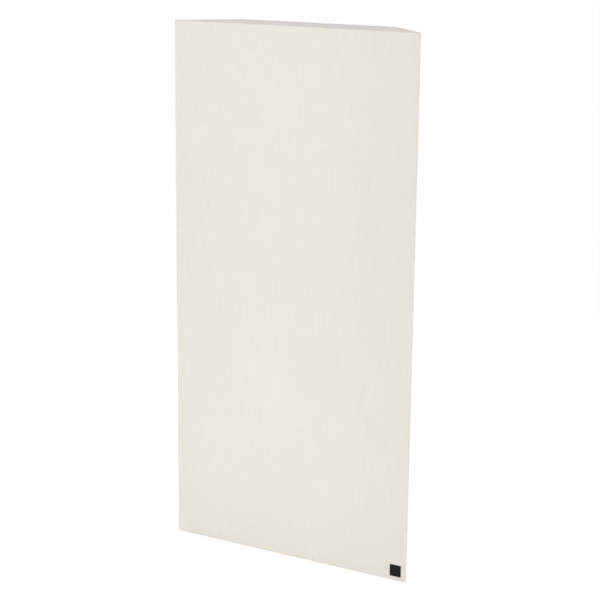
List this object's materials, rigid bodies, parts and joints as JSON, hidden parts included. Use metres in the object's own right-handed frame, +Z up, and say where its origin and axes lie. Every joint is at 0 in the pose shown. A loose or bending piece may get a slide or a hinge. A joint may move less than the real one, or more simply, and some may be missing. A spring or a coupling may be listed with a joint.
{
  "type": "corner bass trap",
  "caption": "Tall corner bass trap: a fabric-wrapped mineral wool panel in a timber frame, with a wide flat front, 45 degree sides and a narrower back.",
  "frame": {"origin": "on the floor, in the middle of the footprint", "axes": "+Z up along the height, -Y out of the wide front into the room, +X to the right as seen from the front"},
  "size_m": [0.6, 0.1148, 1.2],
  "materials": {
    "pale_fabric": "matte",
    "black_cloth": "matte",
    "black_label": "matte",
    "glass_tissue": "matte",
    "mineral_wool": "matte",
    "mdf": "matte",
    "pine": "matte",
    "plywood": "matte",
    "zinc_steel": "satin"
  },
  "bodies": {
    "root": {"fabric_cover": "pale_fabric", "label": "black_label", "back_cloth": "black_cloth", "front_scrim": "glass_tissue", "top_plate": "mdf", "bottom_plate": "mdf", "mid_rib": "plywood", "front_stile_left": "pine", "front_stile_right": "pine", "rear_post_left": "pine", "rear_post_right": "pine", "back_strap_lower": "plywood", "back_strap_upper": "plywood", "core_front_lower": "mineral_wool", "core_front_upper": "mineral_wool", "core_rear_lower": "mineral_wool", "core_rear_upper": "mineral_wool", "plate_screw_bottom_front_left": "zinc_steel", "plate_screw_bottom_front_right": "zinc_steel", "plate_screw_bottom_rear_left": "zinc_steel", "plate_screw_bottom_rear_right": "zinc_steel", "plate_screw_top_front_left": "zinc_steel", "plate_screw_top_front_right": "zinc_steel", "plate_screw_top_rear_left": "zinc_steel", "plate_screw_top_rear_right": "zinc_steel", "rib_screw_front_left": "zinc_steel", "rib_screw_front_right": "zinc_steel", "rib_screw_rear_left": "zinc_steel", "rib_screw_rear_right": "zinc_steel", "strap_screw_lower_left_a": "zinc_steel", "strap_screw_lower_left_b": "zinc_steel", "strap_screw_lower_right_a": "zinc_steel", "strap_screw_lower_right_b": "zinc_steel", "strap_screw_upper_left_a": "zinc_steel", "strap_screw_upper_left_b": "zinc_steel", "strap_screw_upper_right_a": "zinc_steel", "strap_screw_upper_right_b": "zinc_steel"}
  },
  "joints": []
}
